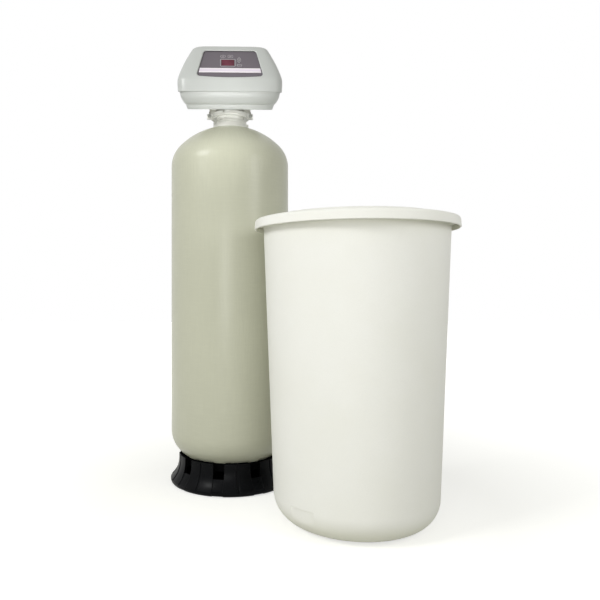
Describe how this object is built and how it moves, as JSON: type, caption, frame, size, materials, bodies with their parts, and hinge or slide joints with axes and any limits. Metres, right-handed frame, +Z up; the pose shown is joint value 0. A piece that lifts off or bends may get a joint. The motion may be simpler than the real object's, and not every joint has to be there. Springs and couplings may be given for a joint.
{
  "type": "water softener",
  "caption": "Twin-tank water softener: fibreglass resin tank on a moulded boot with a motorised control valve head, beside a tapered brine tank with a lift-off lid.",
  "frame": {"origin": "on the floor, under the centre of the whole set's bounding box", "axes": "+Z up, -Y towards the control panel's front, +X from the resin tank to the brine tank"},
  "size_m": [0.711, 0.732, 1.232],
  "materials": {
    "base_black": "glossy moulded",
    "fibreglass": "satin, wound glass fibre",
    "neck_white": "satin moulded",
    "valve_plastic": "satin moulded",
    "gravel": "rough",
    "resin_beads": "beads",
    "pipe_plastic": "satin",
    "rubber": "matte",
    "steel": "zinc plated",
    "dark_plastic": "satin moulded",
    "gear_plastic": "natural nylon",
    "motor_case": "satin",
    "turbine_blue": "satin",
    "head_grey": "satin moulded",
    "panel_violet": "printed film",
    "key_violet": "printed film",
    "strip_white": "glossy",
    "display_red": "tinted, glossy",
    "board_green": "solder mask",
    "brine_white": "rotomoulded, fine grain",
    "well_white": "satin"
  },
  "bodies": {
    "frame": {"tank_base": "base_black", "resin_tank": "fibreglass", "neck_collar": "neck_white", "tank_adapter": "neck_white", "clamp_front": "neck_white", "clamp_rear": "neck_white", "valve_body": "valve_plastic", "top_plate": "valve_plastic", "bearing_caps": "valve_plastic", "inlet_union": "valve_plastic", "outlet_union": "valve_plastic", "brine_fitting": "valve_plastic", "gravel_bed": "gravel", "resin_bed": "resin_beads", "riser_tube": "pipe_plastic", "lower_strainer": "pipe_plastic", "upper_strainer": "pipe_plastic", "salt_grid": "pipe_plastic", "grid_legs": "pipe_plastic", "pickup_tube": "pipe_plastic", "neck_seal": "rubber", "riser_seal": "rubber", "cord_grommet": "rubber", "clamp_bolts": "steel", "plate_screws": "steel", "flapper_pin": "steel", "valve_spring": "steel", "injector_cap": "dark_plastic", "position_sensor": "dark_plastic", "meter_axle": "dark_plastic", "drain_fitting": "dark_plastic", "panel_bracket": "dark_plastic", "safety_valve": "dark_plastic", "overflow_elbow": "dark_plastic", "gear_motor": "motor_case", "lower_tray": "head_grey", "faceplate": "panel_violet", "accent_strip": "strip_white", "display_window": "display_red", "control_board": "board_green", "brine_tank": "brine_white", "brine_well": "well_white"},
    "lid": {"brine_lid": "brine_white"},
    "cap": {"well_cap": "dark_plastic"},
    "float": {"float": "well_white", "float_rod": "well_white"},
    "cover": {"upper_cover": "head_grey"},
    "up_key": {"up_button": "key_violet"},
    "down_key": {"down_button": "key_violet"},
    "set_key": {"set_button": "key_violet"},
    "cam": {"camshaft": "dark_plastic", "cam_gear": "gear_plastic"},
    "pinion": {"motor_pinion": "gear_plastic"},
    "turbine": {"meter_turbine": "turbine_blue"},
    "flap_1": {"flapper_1": "dark_plastic"},
    "flap_2": {"flapper_2": "dark_plastic"},
    "flap_3": {"flapper_3": "dark_plastic"},
    "flap_4": {"flapper_4": "dark_plastic"},
    "flap_5": {"flapper_5": "dark_plastic"}
  },
  "joints": [
    {"name": "lid_lift", "type": "slide", "parent": "frame", "child": "lid", "axis": [0, 0, 1], "range_m": [0, 0.25]},
    {"name": "cap_lift", "type": "slide", "parent": "frame", "child": "cap", "axis": [0, 0, 1], "range_m": [0, 0.028]},
    {"name": "float_rise", "type": "slide", "parent": "frame", "child": "float", "axis": [0, 0, 1], "range_m": [0, 0.025]},
    {"name": "cover_lift", "type": "slide", "parent": "frame", "child": "cover", "axis": [0, 0, 1], "range_m": [0, 0.2]},
    {"name": "up_press", "type": "slide", "parent": "frame", "child": "up_key", "axis": [0, 0.8987, -0.4386], "range_m": [0, 0.0008], "stiffness_N_per_m": 600},
    {"name": "down_press", "type": "slide", "parent": "frame", "child": "down_key", "axis": [0, 0.8987, -0.4386], "range_m": [0, 0.0008], "stiffness_N_per_m": 600},
    {"name": "set_press", "type": "slide", "parent": "frame", "child": "set_key", "axis": [0, 0.8987, -0.4386], "range_m": [0, 0.0008], "stiffness_N_per_m": 600},
    {"name": "cam_turn", "type": "hinge", "parent": "frame", "child": "cam", "pos_m": [-0.1855, 0.204, 1.149], "axis": [1, 0, 0], "continuous": true},
    {"name": "pinion_turn", "type": "hinge", "parent": "frame", "child": "pinion", "pos_m": [-0.1855, 0.24015, 1.149], "axis": [1, 0, 0], "continuous": true},
    {"name": "turbine_turn", "type": "hinge", "parent": "frame", "child": "turbine", "pos_m": [-0.1475, 0.268, 1.093], "axis": [0, 1, 0], "continuous": true},
    {"name": "flap_1_lift", "type": "hinge", "parent": "frame", "child": "flap_1", "pos_m": [-0.2355, 0.19, 1.127], "axis": [-1, 0, 0], "range_deg": [0, 8]},
    {"name": "flap_2_lift", "type": "hinge", "parent": "frame", "child": "flap_2", "pos_m": [-0.2105, 0.19, 1.127], "axis": [-1, 0, 0], "range_deg": [0, 8]},
    {"name": "flap_3_lift", "type": "hinge", "parent": "frame", "child": "flap_3", "pos_m": [-0.1855, 0.19, 1.127], "axis": [-1, 0, 0], "range_deg": [0, 8]},
    {"name": "flap_4_lift", "type": "hinge", "parent": "frame", "child": "flap_4", "pos_m": [-0.1605, 0.19, 1.127], "axis": [-1, 0, 0], "range_deg": [0, 8]},
    {"name": "flap_5_lift", "type": "hinge", "parent": "frame", "child": "flap_5", "pos_m": [-0.1355, 0.19, 1.127], "axis": [-1, 0, 0], "range_deg": [0, 8]}
  ],
  "couplings": [
    {"joint": "pinion_turn", "follows": "cam_turn", "ratio": -3}
  ]
}
